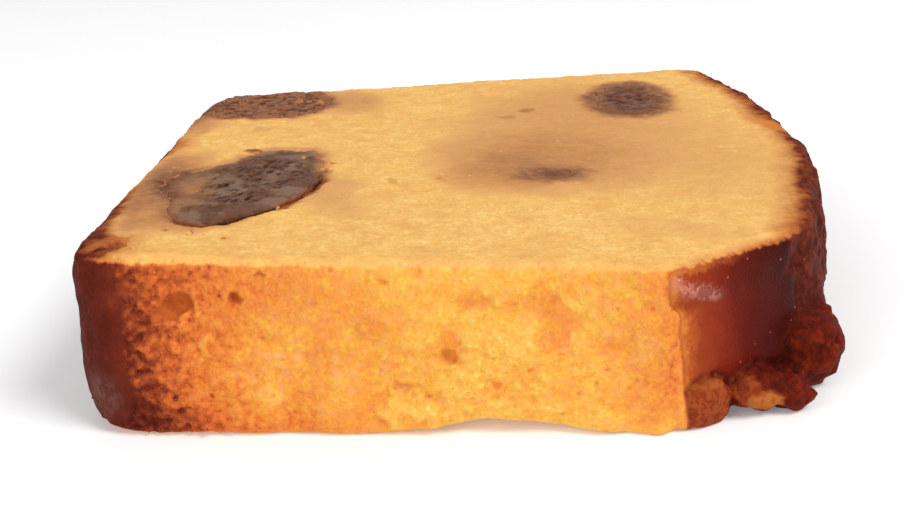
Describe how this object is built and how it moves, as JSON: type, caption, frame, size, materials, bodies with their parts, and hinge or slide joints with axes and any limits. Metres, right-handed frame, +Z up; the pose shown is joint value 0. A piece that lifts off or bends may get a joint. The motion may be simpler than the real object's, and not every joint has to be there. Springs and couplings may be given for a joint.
{
  "type": "pound cake slice with fruit",
  "caption": "Thick slice cut across a pound cake loaf, lying on a cut face, with a browned domed crust along one side and pieces of dark dried fruit cut through by the knife.",
  "frame": {"origin": "middle of the footprint, on the lower cut face", "axes": "+X from the loaf's base towards its domed crust, +Y across the loaf, +Z up through the slice's thickness"},
  "size_m": [0.0918, 0.0972, 0.0198],
  "materials": {
    "crumb": "fine golden crumb on the two cut faces, orange and brown on the pan sides, dark glossy crust on the dome",
    "fruit": "moist dark dried fruit, glossy where the knife cut it"
  },
  "bodies": {
    "root": {"cake": "crumb", "fruit_front_left": "fruit", "fruit_back_left": "fruit", "fruit_middle": "fruit", "fruit_back_right": "fruit"}
  },
  "joints": []
}
